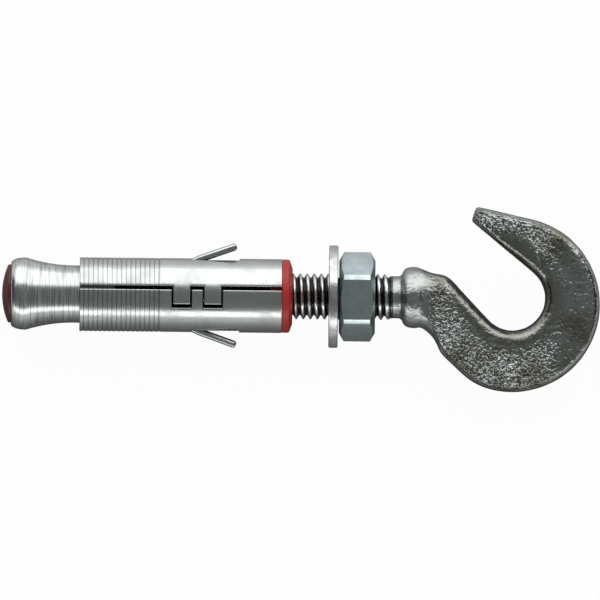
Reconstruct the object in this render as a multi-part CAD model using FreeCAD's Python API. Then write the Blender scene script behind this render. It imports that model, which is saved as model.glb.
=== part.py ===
import FreeCAD, Part
import math
import os
from FreeCAD import Vector

# Hook anchor: an expansion anchor for a 16 mm hole, with a forged open hook on an M10 shank.
# Sizes are in millimetres. X runs along the shank, out of the wall towards the hook.
# The origin is on the shank's axis, in the collar's outer face, which lies in the wall's face.
# Each piece is made with the flat of the hook in the X-Y plane and its tip on the +Y side.
# The whole anchor is then turned about the shank, as it lies on its washer and the hook's back.

# Fits
running_clearance = 0.05      # radial, between the thread's crests and a threaded bore
sleeve_clearance = 0.25       # radial, between the cone's neck and the sleeve's bore
press_clearance = 0.02        # radial, between a plastic spigot and the bore that holds it
washer_clearance = 0.40       # radial, between the washer and the thread's crests
face_gap = 0.20               # between the washer and the nut

# Threaded shank, M10
thread_diameter = 9.75        # over the crests of the rolled thread
blank_diameter = 9.03         # of the plain shank, which is the thread's pitch diameter
thread_end = 20.5             # from the wall's face to the last turn
thread_engagement = 13.4      # how far the shank is screwed into the cone, from the neck's end
thread_chamfer = 0.9

# Collar of red plastic at the sleeve's mouth
collar_flange = 1.8           # thickness of its flange
collar_flange_inset = 0.05    # its rim lies this much inside the sleeve's outer face
collar_boss_height = 0.4
collar_boss_diameter = 11.6
collar_spigot = 2.5           # length inside the sleeve
collar_chamfer = 0.3

# Expansion sleeve, rolled from strip
sleeve_diameter = 15.7
sleeve_wall = 1.5
sleeve_length = 43.1
sleeve_chamfer = 0.5          # on the front edge
rib_pitch = 1.0
rib_count = 17
rib_groove_width = 0.44
rib_groove_depth = 0.25
rib_start = 0.9               # from the sleeve's front edge to the first groove's middle
band_groove_width = 0.70      # the last, wider groove, which ends the ribbed band

# Butt seam of the sleeve: the upper edge has two tongues, which sit in notches of the lower edge
seam_angle = 11.7             # from +Z towards +Y, where the seam lies
seam_gap = 0.80
tongue_count = 2
tongue_reach = 4.0            # how far a tongue stands out of the upper edge, along the wall
tongue_length = 3.7           # along the axis
tongue_pitch = 6.6
tongue_side_gap = 0.25
tongue_start = 19.9           # from the sleeve's front edge to the first tongue

# Wings that keep the sleeve from turning in its hole, cut from the wall and bent out
wing_count = 2
wing_angle = 19.5             # between a wing and the axis
wing_length = 9.9
wing_width = 3.6
wing_slot_gap = 0.35          # round the wing's sides and end
wing_start = 23.7             # from the sleeve's front edge to the bend
wing_lift = 0.35              # how far the bend itself stands out of the wall

# Cone nut
cone_diameter = 15.4
cone_neck_depth = 7.5         # length of the neck inside the sleeve
cone_neck_lead = 1.2          # straight neck that shows in front of the sleeve
cone_flare = 10.2             # length of the concave flare
cone_crown = 3.2              # length of the nose, from the flare's end to the front face
cone_nose_diameter = 13.0     # of the front face
cone_flare_rim = 0.2          # rounding of the flare into the widest part, along the axis

# Plug of red plastic in the cone's nose
plug_diameter = 12.4
plug_rim = 0.6                # thickness at its rim
plug_dome = 1.3               # how far its middle stands over the rim
plug_stem = 2.2

# Washer
washer_diameter = 21.8
washer_thickness = 2.0
washer_chamfer = 0.25
washer_place = 7.7            # from the wall's face to the washer

# Hexagon nut, 17 mm across flats
nut_flats = 17.0
nut_corners = 19.0            # across the corners, which are turned down
nut_height = 7.7
nut_turn = 4.0                # how far it is turned about the shank, in degrees
nut_chamfer_angle = 30.0
nut_face_diameter = 15.4      # of the round face that the chamfer leaves

# Boss between the shank and the hook
boss_diameter = 12.9
boss_start = 23.3             # from the wall's face
boss_length = 5.3
boss_rounding = 1.6           # of its edge towards the nut
boss_rear_diameter = 9.6      # where its crown has run down inside the hook
boss_rear_swell = 0.75        # how far the crown bows out on the way down

# Forged hook, outlines in the X-Y plane
bowl_centre_x = 46.8
bowl_centre_y = 0.1
bowl_diameter = 13.8
back_diameter = 37.3          # of the hook's outer curve
back_drop = 1.4               # from the bowl's centre down to the outer curve's centre
arm_slope = 140.6             # direction of the arm's inner edge, in degrees from +X
arm_length = 17.2             # of the inner edge, from the bowl to the tip
tip_width = 3.3               # of the tip's end face
tip_slope = 72.0              # direction of the tip's end face, from its inner to its outer edge
neck_top_x = 33.6             # where the neck's top edge turns down into the bowl
neck_top_y = 4.0
neck_top_swell = 0.45         # how far the neck's top edge bows out
heel_x = 31.0                 # where the hollow under the neck runs out into the back
heel_y = -10.5
heel_hollow = 0.85            # how far the neck's lower edge bows in
heel_swell = 0.85             # how far the edge between the heel and the outer curve bows out
heel_end_angle = 250.0        # on the outer curve, where the flatter stretch joins it

# Forged hook, sections: thickness and edge roundings along it, from the boss to the tip
neck_inset = 0.55             # how far the first, round section lies inside the boss
neck_flat = 0.6               # flat left between the first section's roundings
bend_thickness = 10.8
bowl_thickness = 10.8
arm_thickness = 9.6
tip_thickness = 6.2
bend_inner_rounding = 3.2
bend_outer_rounding = 2.0
bowl_inner_rounding = 2.9
bowl_outer_rounding = 1.7
tip_rounding = 1.1
tip_edge_rounding = 0.6
sections_per_stretch = (3, 3, 10, 4)

# Places that follow from the sizes
thread_radius = thread_diameter / 2
bore_radius = thread_radius + running_clearance
sleeve_outer = sleeve_diameter / 2
sleeve_inner = sleeve_outer - sleeve_wall
sleeve_rear = -(collar_boss_height + collar_flange)
sleeve_front = sleeve_rear - sleeve_length
cone_rear = sleeve_front + cone_neck_depth
shank_end = cone_rear - thread_engagement
cone_face = sleeve_front - cone_neck_lead - cone_flare - cone_crown
neck_half = boss_diameter / 2 - neck_inset
axis_point = Vector(0, 0, 0)
axis_direction = Vector(1, 0, 0)


def line(start, end):
    """A straight edge in the X-Y plane between two (x, y) points."""
    return Part.LineSegment(Vector(*start, 0), Vector(*end, 0)).toShape()


def arc(start, middle, end):
    """A circular edge in the X-Y plane through three (x, y) points."""
    return Part.Arc(Vector(*start, 0), Vector(*middle, 0), Vector(*end, 0)).toShape()


def polyline(points):
    """Straight edges that join the points in order."""
    return [line(a, b) for a, b in zip(points, points[1:])]


def turned(edges):
    """The solid that a closed outline of (x, radius) edges sweeps about the shank's axis."""
    return Part.Face(Part.Wire(edges)).revolve(axis_point, axis_direction, 360)


def polar(centre, radius, degrees):
    """The point at an angle on a circle in the X-Y plane."""
    turn = math.radians(degrees)
    return (centre[0] + radius * math.cos(turn), centre[1] + radius * math.sin(turn))


def bowed(start, end, bow):
    """An arc between two points whose middle stands off the chord, to the left of its direction."""
    across = (end[0] - start[0], end[1] - start[1])
    length = math.hypot(*across)
    middle = (
        (start[0] + end[0]) / 2 - across[1] / length * bow,
        (start[1] + end[1]) / 2 + across[0] / length * bow,
    )
    return arc(start, middle, end)


def wall_block(front, rear, low_angle, high_angle):
    """A block through the sleeve's wall, between two places on the axis and two angles from +Z."""
    reach = sleeve_wall / 2
    corners = [
        (front, sleeve_inner - reach),
        (rear, sleeve_inner - reach),
        (rear, sleeve_outer + reach),
        (front, sleeve_outer + reach),
        (front, sleeve_inner - reach),
    ]
    face = Part.Face(Part.Wire(polyline(corners)))
    face.rotate(axis_point, axis_direction, 90 - high_angle)
    return face.revolve(axis_point, axis_direction, high_angle - low_angle)


def wall_degrees(length):
    """The angle that a length along the sleeve's outer face takes up."""
    return math.degrees(length / sleeve_outer)


def ribbed_tube():
    """The sleeve before its seam and wings are cut: a tube with fine grooves on its front."""
    points = [
        (sleeve_front, sleeve_inner),
        (sleeve_front, sleeve_outer - sleeve_chamfer),
        (sleeve_front + sleeve_chamfer / 2, sleeve_outer),
    ]
    for number in range(rib_count):
        middle = sleeve_front + rib_start + number * rib_pitch
        width = band_groove_width if number == rib_count - 1 else rib_groove_width
        points += [
            (middle - width / 2, sleeve_outer),
            (middle, sleeve_outer - rib_groove_depth),
            (middle + width / 2, sleeve_outer),
        ]
    points += [
        (sleeve_rear, sleeve_outer),
        (sleeve_rear, sleeve_inner),
        (sleeve_front, sleeve_inner),
    ]
    return turned(polyline(points))


def seam_cuts():
    """The gap of the butt seam, which steps round the two tongues."""
    half_gap = wall_degrees(seam_gap) / 2
    tip_angle = seam_angle - wall_degrees(tongue_reach)
    cuts = []
    front = sleeve_front - sleeve_wall
    for number in range(tongue_count):
        start = sleeve_front + tongue_start + number * tongue_pitch
        end = start + tongue_length
        cuts.append(wall_block(front, start, seam_angle - half_gap, seam_angle + half_gap))
        cuts.append(wall_block(start, end, tip_angle - half_gap, tip_angle + half_gap))
        for side in (start - tongue_side_gap, end):
            cuts.append(
                wall_block(side, side + tongue_side_gap, tip_angle - half_gap, seam_angle + half_gap)
            )
        front = end
    rear = sleeve_rear + sleeve_wall
    cuts.append(wall_block(front, rear, seam_angle - half_gap, seam_angle + half_gap))
    return cuts


def wing_and_slot():
    """One wing on the +Y side, bent out about its root, and the slot that it is cut from."""
    root = sleeve_front + wing_start
    half_width = wall_degrees(wing_width) / 2
    half_slot = half_width + wall_degrees(wing_slot_gap)
    inner = sleeve_inner + wing_lift
    outer = sleeve_outer + wing_lift
    corners = [
        (root, inner),
        (root + wing_length, inner),
        (root + wing_length, outer),
        (root, outer),
        (root, inner),
    ]
    face = Part.Face(Part.Wire(polyline(corners)))
    face.rotate(axis_point, axis_direction, -half_width)
    wing = face.revolve(axis_point, axis_direction, 2 * half_width)
    wing.rotate(Vector(root, inner, 0), Vector(0, 0, 1), wing_angle)
    slot = wall_block(root, root + wing_length + wing_slot_gap, 90 - half_slot, 90 + half_slot)
    return wing, slot


def expansion_sleeve():
    """The rolled sleeve, with its seam, ribs and wings."""
    wing, slot = wing_and_slot()
    wings, slots = [], []
    for number in range(wing_count):
        turn = 360 / wing_count * number
        wings.append(wing.rotated(axis_point, axis_direction, turn))
        slots.append(slot.rotated(axis_point, axis_direction, turn))
    return ribbed_tube().cut(seam_cuts() + slots).fuse(wings).removeSplitter()


def sleeve_collar():
    """The plastic ring that closes the sleeve's mouth and grips the thread."""
    rim = sleeve_outer - collar_flange_inset
    flange_face = -collar_boss_height
    spigot = sleeve_inner - press_clearance
    boss = collar_boss_diameter / 2
    points = [
        (sleeve_rear - collar_spigot, bore_radius),
        (sleeve_rear - collar_spigot, spigot - collar_chamfer),
        (sleeve_rear - collar_spigot + collar_chamfer, spigot),
        (sleeve_rear, spigot),
        (sleeve_rear, rim - collar_chamfer / 2),
        (sleeve_rear + collar_chamfer / 2, rim),
        (flange_face - collar_chamfer, rim),
        (flange_face, rim - collar_chamfer),
        (flange_face, boss),
        (0, boss - collar_chamfer / 2),
        (0, bore_radius),
        (sleeve_rear - collar_spigot, bore_radius),
    ]
    return turned(polyline(points))


def cone_nut():
    """The threaded cone, with its neck in the sleeve and a concave flare in front of it."""
    neck = sleeve_inner - sleeve_clearance
    widest = cone_diameter / 2
    nose = cone_nose_diameter / 2
    flare_start = sleeve_front - cone_neck_lead
    flare_end = flare_start - cone_flare
    rim_end = flare_end - cone_flare_rim
    face = cone_face
    # the flare leaves the neck in a tangent arc, so its height grows with the square of its length
    half_height = (widest - neck) / 4
    edges = polyline(
        [
            (face, bore_radius),
            (cone_rear, bore_radius),
            (cone_rear, neck),
            (flare_start, neck),
        ]
    )
    edges.append(
        arc(
            (flare_start, neck),
            ((flare_start + flare_end) / 2, neck + half_height),
            (flare_end, widest),
        )
    )
    edges.append(line((flare_end, widest), (rim_end, widest)))
    shoulder = math.sqrt(0.5)
    edges.append(
        arc(
            (rim_end, widest),
            (rim_end + (face - rim_end) * shoulder, nose + (widest - nose) * shoulder),
            (face, nose),
        )
    )
    edges.append(line((face, nose), (face, bore_radius)))
    return turned(edges)


def cone_plug():
    """The domed plastic plug, whose stem fits the cone's bore."""
    rim = plug_diameter / 2
    stem = bore_radius - press_clearance
    front = cone_face - plug_rim
    edges = polyline(
        [
            (front - plug_dome, 0),
            (cone_face + plug_stem, 0),
            (cone_face + plug_stem, stem),
            (cone_face, stem),
            (cone_face, rim),
            (front, rim),
        ]
    )
    sphere = (rim**2 + plug_dome**2) / (2 * plug_dome)
    half_turn = math.asin(rim / sphere) / 2
    half_way = front - plug_dome + sphere * (1 - math.cos(half_turn))
    edges.append(arc((front, rim), (half_way, sphere * math.sin(half_turn)), (front - plug_dome, 0)))
    return turned(edges)


def washer():
    """The plain washer."""
    bore = thread_radius + washer_clearance
    rim = washer_diameter / 2
    rear = washer_place + washer_thickness
    points = [
        (washer_place, bore),
        (washer_place, rim - washer_chamfer),
        (washer_place + washer_chamfer, rim),
        (rear - washer_chamfer, rim),
        (rear, rim - washer_chamfer),
        (rear, bore),
        (washer_place, bore),
    ]
    return turned(polyline(points))


def hex_nut():
    """The nut: a hexagon cut down by a turned blank with a chamfer on both faces."""
    front = washer_place + washer_thickness + face_gap
    rear = front + nut_height
    corner = nut_flats / 2 / math.cos(math.radians(30))
    outer = nut_corners / 2
    face_radius = nut_face_diameter / 2
    chamfer = (outer - face_radius) * math.tan(math.radians(nut_chamfer_angle))
    blank = turned(
        polyline(
            [
                (front, bore_radius),
                (front, face_radius),
                (front + chamfer, outer),
                (rear - chamfer, outer),
                (rear, face_radius),
                (rear, bore_radius),
                (front, bore_radius),
            ]
        )
    )
    corners = []
    for number in range(7):
        turn = math.radians(60 * number + nut_turn)
        corners.append(Vector(front, corner * math.cos(turn), corner * math.sin(turn)))
    hexagon = Part.Face(Part.makePolygon(corners)).extrude(Vector(nut_height, 0, 0))
    return hexagon.common(blank)


def turned_shank():
    """The threaded and plain shank with its boss."""
    crest = thread_radius
    blank = blank_diameter / 2
    boss = boss_diameter / 2
    boss_end = boss_start + boss_length
    shoulder = boss_rounding * (1 - math.sqrt(0.5))
    edges = polyline(
        [
            (boss_end, 0),
            (shank_end, 0),
            (shank_end, crest - thread_chamfer),
            (shank_end + thread_chamfer, crest),
            (thread_end, crest),
            (thread_end + crest - blank, blank),
            (boss_start, blank),
            (boss_start, boss - boss_rounding),
        ]
    )
    edges.append(
        arc(
            (boss_start, boss - boss_rounding),
            (boss_start + shoulder, boss - shoulder),
            (boss_start + boss_rounding, boss),
        )
    )
    rear = boss_rear_diameter / 2
    edges.append(bowed((boss_start + boss_rounding, boss), (boss_end, rear), boss_rear_swell))
    edges.append(line((boss_end, rear), (boss_end, 0)))
    return turned(edges)


def tangent_angle(point, centre, radius, side):
    """Where a line from an outer point touches a circle: to the left of the point for side 1."""
    away = math.degrees(math.atan2(point[1] - centre[1], point[0] - centre[0]))
    reach = math.hypot(point[0] - centre[0], point[1] - centre[1])
    return away + side * math.degrees(math.acos(radius / reach))


def circle_arc(centre, radius, start, end):
    """An arc of a circle between two angles in degrees."""
    points = [polar(centre, radius, turn) for turn in (start, (start + end) / 2, end)]
    return arc(*points)


def hook_outlines():
    """The hook's inner and outer edges, from the neck to the tip, in stretches that match."""
    bowl = (bowl_centre_x, bowl_centre_y)
    bowl_radius = bowl_diameter / 2
    back = (bowl_centre_x, bowl_centre_y - back_drop)
    back_radius = back_diameter / 2
    neck_x = boss_start + boss_length / 2
    neck_top = (neck_top_x, neck_top_y)
    into_bowl = tangent_angle(neck_top, bowl, bowl_radius, 1)
    out_of_bowl = arm_slope + 270
    arm_start = polar(bowl, bowl_radius, out_of_bowl)
    arm_end = polar(arm_start, arm_length, arm_slope)
    inner = [
        bowed((neck_x, neck_half), neck_top, neck_top_swell),
        line(neck_top, polar(bowl, bowl_radius, into_bowl)),
        circle_arc(bowl, bowl_radius, into_bowl, out_of_bowl),
        line(arm_start, arm_end),
    ]
    heel = (heel_x, heel_y)
    heel_end = polar(back, back_radius, heel_end_angle)
    tip_end = polar(arm_end, tip_width, tip_slope)
    out_of_back = tangent_angle(tip_end, back, back_radius, -1) + 360
    outer = [
        bowed((neck_x, -neck_half), heel, heel_hollow),
        bowed(heel, heel_end, -heel_swell),
        circle_arc(back, back_radius, heel_end_angle, out_of_back),
        line(polar(back, back_radius, out_of_back), tip_end),
    ]
    return inner, outer


def hook_section(inner, outer, thickness, inner_rounding, outer_rounding):
    """A rounded oblong wire that stands on the line from the inner to the outer edge."""
    across = outer - inner
    width = across.Length
    across.normalize()

    def place(u, v):
        return inner + across * u + Vector(0, 0, v)

    half = thickness / 2
    corners = [
        (width, -half, outer_rounding, -1, 1),
        (width, half, outer_rounding, -1, -1),
        (0, half, inner_rounding, 1, -1),
        (0, -half, inner_rounding, 1, 1),
    ]
    bend = 1 - math.sqrt(0.5)
    arcs = []
    for number, (u, v, rounding, step_u, step_v) in enumerate(corners):
        along = place(u + step_u * rounding, v)
        middle = place(u + step_u * rounding * bend, v + step_v * rounding * bend)
        up = place(u, v + step_v * rounding)
        ends = (along, up) if number % 2 == 0 else (up, along)
        arcs.append((ends[0], middle, ends[1]))
    edges = []
    for number, (start, middle, end) in enumerate(arcs):
        edges.append(Part.Arc(start, middle, end).toShape())
        following = arcs[(number + 1) % len(arcs)][0]
        edges.append(Part.LineSegment(end, following).toShape())
    return Part.Wire(edges)


def hook_body():
    """The flattened hook, lofted through sections that change from round to oblong to slim."""
    inner_edges, outer_edges = hook_outlines()
    neck_thickness = 2 * neck_half
    neck_rounding = neck_half - neck_flat / 2
    thickness = (neck_thickness, bend_thickness, bowl_thickness, arm_thickness, tip_thickness)
    inner_rounding = (
        neck_rounding,
        bend_inner_rounding,
        bowl_inner_rounding,
        bowl_inner_rounding,
        tip_rounding,
    )
    outer_rounding = (
        neck_rounding,
        bend_outer_rounding,
        bowl_outer_rounding,
        bowl_outer_rounding,
        tip_rounding,
    )
    sections = []
    for stretch, steps in enumerate(sections_per_stretch):
        last = stretch == len(sections_per_stretch) - 1
        for step in range(steps + 1 if last else steps):
            share = step / steps
            inner, outer = (
                edge.valueAt(edge.FirstParameter + share * (edge.LastParameter - edge.FirstParameter))
                for edge in (inner_edges[stretch], outer_edges[stretch])
            )
            sizes = [
                values[stretch] * (1 - share) + values[stretch + 1] * share
                for values in (thickness, inner_rounding, outer_rounding)
            ]
            sections.append(hook_section(inner, outer, *sizes))
    body = Part.makeLoft(sections, True, False)
    tip = max(body.Faces, key=lambda face: (isinstance(face.Surface, Part.Plane), face.CenterOfMass.y))
    return body.makeFillet(tip_edge_rounding, tip.Edges)


def forged_hook():
    """The whole forging: shank, boss and hook."""
    return turned_shank().fuse(hook_body()).removeSplitter()


def rest_roll():
    """How far the anchor is turned about its shank to lie on the washer and the hook's back."""
    rounding = bowl_outer_rounding
    down = back_diameter / 2 + back_drop - bowl_centre_y - rounding
    side = bowl_thickness / 2 - rounding
    reach = washer_diameter / 2 - rounding
    return math.degrees(math.asin(reach / math.hypot(down, side)) - math.atan2(side, down))


pieces = {
    "expansion_sleeve": expansion_sleeve,
    "sleeve_collar": sleeve_collar,
    "cone_nut": cone_nut,
    "cone_plug": cone_plug,
    "washer": washer,
    "hex_nut": hex_nut,
    "forged_hook": forged_hook,
}

os.makedirs("parts", exist_ok=True)
roll = rest_roll()
for name, make in pieces.items():
    piece = make()
    piece.rotate(axis_point, axis_direction, roll)
    piece.exportStep("parts/" + name + ".step")
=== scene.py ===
"""Hook anchor: the looks of its pieces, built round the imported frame, and the studio it lies in."""

import math

import bmesh
import bpy
from bpy.props import FloatProperty, FloatVectorProperty, IntProperty, PointerProperty
from bpy.types import Operator, Panel, PropertyGroup
from mathutils import Matrix, Vector, noise


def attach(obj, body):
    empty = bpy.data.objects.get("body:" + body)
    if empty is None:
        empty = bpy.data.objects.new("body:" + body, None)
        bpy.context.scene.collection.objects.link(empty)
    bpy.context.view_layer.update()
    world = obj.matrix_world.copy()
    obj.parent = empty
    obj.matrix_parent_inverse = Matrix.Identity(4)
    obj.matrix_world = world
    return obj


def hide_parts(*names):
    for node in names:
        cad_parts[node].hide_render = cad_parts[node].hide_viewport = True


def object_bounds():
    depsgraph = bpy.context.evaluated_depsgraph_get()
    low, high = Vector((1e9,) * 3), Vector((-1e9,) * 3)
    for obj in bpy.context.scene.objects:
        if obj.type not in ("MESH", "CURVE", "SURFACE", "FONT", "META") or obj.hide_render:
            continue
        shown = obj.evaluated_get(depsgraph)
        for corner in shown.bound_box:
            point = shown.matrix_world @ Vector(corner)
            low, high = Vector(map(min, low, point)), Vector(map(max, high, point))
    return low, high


bl_info = {
    "name": "Hook anchor",
    "version": (1, 0, 0),
    "blender": (4, 5, 0),
    "location": "3D View > Sidebar > Hook anchor",
    "description": "Builds a forged hook anchor for masonry, and the studio it is shown in",
    "category": "Add Mesh",
}

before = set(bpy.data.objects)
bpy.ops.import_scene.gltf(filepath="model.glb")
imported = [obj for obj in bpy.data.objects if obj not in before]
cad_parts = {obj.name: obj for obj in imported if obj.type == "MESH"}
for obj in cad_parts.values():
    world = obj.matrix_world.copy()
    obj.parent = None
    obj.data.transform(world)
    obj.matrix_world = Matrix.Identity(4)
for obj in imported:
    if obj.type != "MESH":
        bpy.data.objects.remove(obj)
cad_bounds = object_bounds()

MM = 0.001
MERGE = 0.001 * MM
TURN_STEPS = 128
AXIS = Vector((1, 0, 0))
CENTRE = Vector((0, 0, 0))


def linear(hex_colour):
    """An sRGB colour such as #c0c0c0, as linear red, green and blue."""
    channels = [int(hex_colour[i : i + 2], 16) / 255 for i in (1, 3, 5)]
    return [c / 12.92 if c <= 0.04045 else ((c + 0.055) / 1.055) ** 2.4 for c in channels]


def length(name, millimetres, description):
    """A length or a place along the shank, stated in millimetres."""
    return FloatProperty(
        name=name,
        description=description,
        default=millimetres * MM,
        unit="LENGTH",
        subtype="DISTANCE",
        precision=5,
    )


def angle(name, degrees, description):
    """An angle, stated in degrees."""
    return FloatProperty(
        name=name,
        description=description,
        default=math.radians(degrees),
        unit="ROTATION",
        subtype="ANGLE",
    )


def colour(name, hex_colour, description):
    """A colour, stated as sRGB hex."""
    return FloatVectorProperty(
        name=name,
        description=description,
        default=linear(hex_colour),
        subtype="COLOR",
        size=3,
        min=0,
        max=1,
    )


class SleeveSettings(PropertyGroup):
    """The expansion sleeve, rolled from strip."""

    diameter: length("Diameter", 15.7, "Over the wall")
    wall: length("Wall", 1.5, "Thickness of the strip")
    front: length("Front edge", -45.3, "Place of the front edge on the shank's axis")
    rear: length("Rear edge", -2.2, "Place of the rear edge on the shank's axis")
    rib_pitch: length("Rib pitch", 1.0, "From one groove to the next")
    rib_count: IntProperty(name="Grooves", description="Grooves round the front", default=17, min=1)
    rib_start: length("First groove", 0.9, "From the front edge to the first groove's middle")
    groove_width: length("Groove width", 0.44, "Of the fine grooves")
    groove_depth: length("Groove depth", 0.13, "Of every groove")
    band_groove_width: length("Last groove", 0.70, "Width of the groove that ends the ribs")
    seam_angle: angle("Seam", 11.7, "Where the seam lies, from the top of the wall towards the tip")
    seam_gap: length("Seam gap", 0.80, "Between the two edges of the strip")
    tongue_count: IntProperty(name="Tongues", description="Tongues in the seam", default=2, min=1)
    tongue_reach: length("Tongue reach", 4.0, "How far a tongue stands out of its edge")
    tongue_length: length("Tongue length", 3.7, "Along the axis")
    tongue_pitch: length("Tongue pitch", 6.6, "From one tongue to the next")
    tongue_side_gap: length("Tongue gap", 0.25, "At each side of a tongue")
    tongue_start: length("First tongue", 19.9, "From the front edge to the first tongue")
    wing_count: IntProperty(name="Wings", description="Wings round the wall", default=2, min=1)
    wing_angle: angle("Wing angle", 19.5, "Between a wing and the axis")
    wing_length: length("Wing length", 9.75, "From its bend to its end")
    wing_width: length("Wing width", 3.6, "Round the wall")
    wing_slot_gap: length("Wing slot", 0.35, "Gap round a wing's sides and end")
    wing_start: length("Wing bend", 23.85, "From the front edge to the bend")
    wing_bend: length("Bend length", 1.2, "Over which the wing bends out")
    wing_lift: length("Wing lift", 0.35, "How far the bend stands out of the wall")
    edge_rounding: length("Edge rounding", 0.22, "Of the sheared edges")
    wing_rounding: length("Wing rounding", 0.65, "Of the wings' pressed edges")
    zinc: colour("Zinc", "#cbcfcd", "The plated strip")
    dull_zinc: colour("Dull zinc", "#b6bab8", "Where the plating is dull")


class ConeSettings(PropertyGroup):
    """The threaded cone and the plug in its nose."""

    neck_radius: length("Neck radius", 6.1, "Of the neck inside the sleeve")
    neck_rear: length("Neck end", -37.8, "Place of the neck's end on the axis")
    flare_start: length("Flare start", -46.5, "Where the flare leaves the neck")
    flare_end: length("Flare end", -56.7, "Where the flare ends")
    diameter: length("Diameter", 15.4, "Of the widest part")
    face: length("Front face", -59.9, "Place of the front face")
    nose_diameter: length("Nose", 13.0, "Of the front face")
    bore: length("Bore", 9.85, "Over the thread's crests")
    plug_diameter: length("Plug", 12.4, "Of the plug's rim")
    plug_rim: length("Plug rim", 0.6, "Thickness of the plug's rim")
    plug_dome: length("Plug dome", 1.3, "Height of the plug's dome")
    plug_stem: length("Plug stem", 2.2, "Length of the plug's stem in the bore")
    zinc: colour("Zinc", "#d8dad9", "The turned and plated cone")
    dull_zinc: colour("Dull zinc", "#9a9f9d", "In the turning marks")
    plug_colour: colour("Plug", "#561319", "The plug's plastic")


class CollarSettings(PropertyGroup):
    """The plastic collar at the sleeve's mouth."""

    rim_radius: length("Rim radius", 7.8, "Of the flange")
    flange: length("Flange", 1.8, "Thickness of the flange")
    boss_height: length("Boss height", 0.4, "Of the raised face round the thread")
    boss_radius: length("Boss radius", 5.9, "Of the raised face")
    spigot: length("Spigot", 2.5, "Length inside the sleeve")
    spigot_radius: length("Spigot radius", 5.7, "Inside the sleeve")
    bore: length("Bore", 9.85, "Round the thread")
    rounding: length("Rounding", 0.3, "Of the moulded edges")
    plastic: colour("Plastic", "#b01f1d", "The collar's plastic")


class WasherSettings(PropertyGroup):
    """The plain washer."""

    place: length("Place", 7.7, "From the wall's face to the washer")
    thickness: length("Thickness", 2.0, "Of the sheet it is stamped from")
    diameter: length("Diameter", 21.8, "Over its rim")
    bore: length("Bore", 10.55, "Of its hole")
    rounding: length("Rounding", 0.35, "Of the rim's stamped edges")
    zinc: colour("Zinc", "#e4e6e5", "The plated washer")
    dull_zinc: colour("Dull zinc", "#b6bab8", "Where the plating is dull")


class NutSettings(PropertyGroup):
    """The hexagon nut."""

    rounding: length("Rounding", 0.28, "Of the forged edges")
    zinc: colour("Blue zinc", "#c6d2d4", "The blue-plated nut")
    dull_zinc: colour("Dull zinc", "#aab6b8", "Where the plating is dull")


class HookSettings(PropertyGroup):
    """The forged hook and its threaded shank."""

    thread_pitch: length("Thread pitch", 1.5, "From one turn to the next")
    thread_radius: length("Thread radius", 4.875, "Over the crests")
    root_radius: length("Root radius", 4.05, "In the thread's root")
    crest_flat: length("Crest", 0.28, "Flat left on a crest")
    root_flat: length("Root", 0.30, "Flat left in a root")
    shank_end: length("Shank end", -51.2, "Where the shank ends inside the cone")
    shank_chamfer: length("Shank chamfer", 0.9, "At the shank's end")
    thread_end: length("Thread end", 20.0, "Where the thread starts to run out")
    blank_radius: length("Blank radius", 4.515, "Of the plain shank")
    cut: length("Cut", 21.0, "Where the forging is taken up from the frame")
    bowl_x: length("Bowl X", 46.8, "The bowl's middle along the shank")
    bowl_y: length("Bowl Y", -0.8, "Middle, across the shank, of the smooth band round the bowl")
    mouth_angle: angle("Mouth", 130, "Which way the mouth opens, from the shank's direction")
    boss_end: length("Boss end", 28.5, "Where the boss under the hook ends")
    skin: length("Skin", 0.34, "Size of the forged skin's mesh")
    waves: length("Waves", 0.07, "Height of the forging's unevenness")
    wave_size: length("Wave size", 5.0, "Across one dent or swell")
    zinc: colour("Zinc", "#afb3b1", "The plated forging")
    # This colour also paints shade on the hook's flanks.
    scale: colour("Scale", "#7b7c71", "Olive scale that shows through the plating")
    thread_zinc: colour("Thread zinc", "#f4f6f5", "The rolled thread")


class StudioSettings(PropertyGroup):
    """The floor, the lights and the camera."""

    rest_roll: angle("Roll", 18.15, "How far the hook's flat is turned about the shank as it lies")
    camera_roll: angle("Camera roll", 0.58, "How far the picture is turned")
    view_width: length("View width", 127.66, "Width of the picture")
    view_x: length("View X", 1.604, "The picture's middle along the shank")
    view_y: length("View Y", -0.782, "The picture's middle across the shank")
    camera_distance: length("Camera distance", 450, "From the anchor to the camera")
    floor: colour("Floor", "#d6d6d6", "The pale floor")
    card: colour("Card", "#757776", "The grey card over the anchor")
    # Painted shadow: the cards under the anchor stand for its shadow on the floor, as the metal
    # mirrors it.
    under_shadow_card: colour("Under card", "#4a4c4b", "The cards that the anchor's underside mirrors")
    end_card: colour("End cards", "#303231", "The dark cards beyond the anchor's ends")


class AnchorSettings(PropertyGroup):
    """All settings of the anchor."""

    sleeve: PointerProperty(type=SleeveSettings)
    cone: PointerProperty(type=ConeSettings)
    collar: PointerProperty(type=CollarSettings)
    washer: PointerProperty(type=WasherSettings)
    nut: PointerProperty(type=NutSettings)
    hook: PointerProperty(type=HookSettings)
    studio: PointerProperty(type=StudioSettings)


def add_node(tree, kind, inputs=None, **settings):
    """A node with its settings, its inputs set to values or linked to other nodes' outputs.

    A Mix node's factor and colours are its inputs 0, 6 and 7, and its colour is output 2.
    """
    node = tree.nodes.new(kind)
    for name, value in settings.items():
        setattr(node, name, value)
    for key, value in (inputs or {}).items():
        if isinstance(value, bpy.types.NodeSocket):
            tree.links.new(value, node.inputs[key])
        else:
            node.inputs[key].default_value = value
    return node


def blank_material(name):
    """An empty material, its node tree and its Object coordinates."""
    material = bpy.data.materials.new(name)
    material.use_nodes = True
    tree = material.node_tree
    tree.nodes.clear()
    place = add_node(tree, "ShaderNodeTexCoord").outputs["Object"]
    return material, tree, place


def rgba(values):
    """A colour with full alpha."""
    return (*values, 1)


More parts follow.
